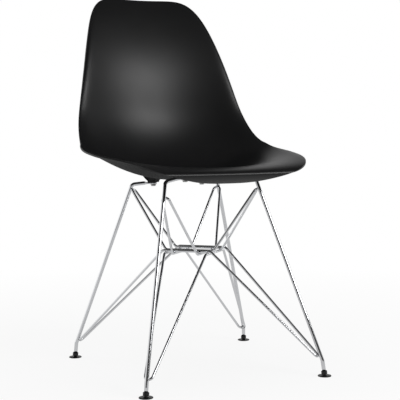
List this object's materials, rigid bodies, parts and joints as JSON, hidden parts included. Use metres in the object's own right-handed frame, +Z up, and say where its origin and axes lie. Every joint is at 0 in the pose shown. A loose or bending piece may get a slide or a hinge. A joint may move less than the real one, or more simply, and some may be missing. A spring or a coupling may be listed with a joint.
{
  "type": "shell chair",
  "caption": "Moulded plastic side chair: a one-piece curved seat-and-back shell bolted to a chromed base of bent rods and looped cross wires, with self-levelling foot glides.",
  "frame": {"origin": "on the floor, under the middle of the chair's width and depth", "axes": "+Z up, the sitter faces -Y, +X is the sitter's left"},
  "size_m": [0.4613, 0.5302, 0.8168],
  "materials": {
    "shell_plastic": "black, satin moulded surface with a fine grain",
    "chromed_wire": "bright chromium plate on round steel rod",
    "hardware_steel": "zinc plated, lightly dulled",
    "insert_brass": "plain turned brass",
    "glide_plastic": "black, slightly worn moulded nylon"
  },
  "bodies": {
    "chair": {"seat_shell": "shell_plastic", "mount_inserts": "insert_brass", "mount_washers": "hardware_steel", "mount_bolts": "hardware_steel", "ball_studs": "hardware_steel", "upright_front_left": "chromed_wire", "upright_rear_left": "chromed_wire", "upright_front_right": "chromed_wire", "upright_rear_right": "chromed_wire", "lower_cross_wire_left": "chromed_wire", "lower_cross_wire_right": "chromed_wire", "upper_cross_wire_left": "chromed_wire", "upper_cross_wire_right": "chromed_wire", "glide_collar_front_left": "glide_plastic", "glide_collar_rear_left": "glide_plastic", "glide_collar_front_right": "glide_plastic", "glide_collar_rear_right": "glide_plastic"},
    "pad_front_left": {"glide_pad_front_left": "glide_plastic"},
    "pad_rear_left": {"glide_pad_rear_left": "glide_plastic"},
    "pad_front_right": {"glide_pad_front_right": "glide_plastic"},
    "pad_rear_right": {"glide_pad_rear_right": "glide_plastic"}
  },
  "joints": [
    {"name": "glide_tilt_front_left", "type": "hinge", "parent": "chair", "child": "pad_front_left", "pos_m": [0.195, -0.2511, 0.0034], "axis": [0.6585, 0.7526, 0], "range_deg": [-8, 8]},
    {"name": "glide_tilt_rear_left", "type": "hinge", "parent": "chair", "child": "pad_rear_left", "pos_m": [0.2106, 0.1499, 0.0034], "axis": [0.8944, -0.4472, 0], "range_deg": [-8, 8]},
    {"name": "glide_tilt_front_right", "type": "hinge", "parent": "chair", "child": "pad_front_right", "pos_m": [-0.195, -0.2511, 0.0034], "axis": [-0.6585, 0.7526, 0], "range_deg": [-8, 8]},
    {"name": "glide_tilt_rear_right", "type": "hinge", "parent": "chair", "child": "pad_rear_right", "pos_m": [-0.2106, 0.1499, 0.0034], "axis": [-0.8944, -0.4472, 0], "range_deg": [-8, 8]}
  ]
}
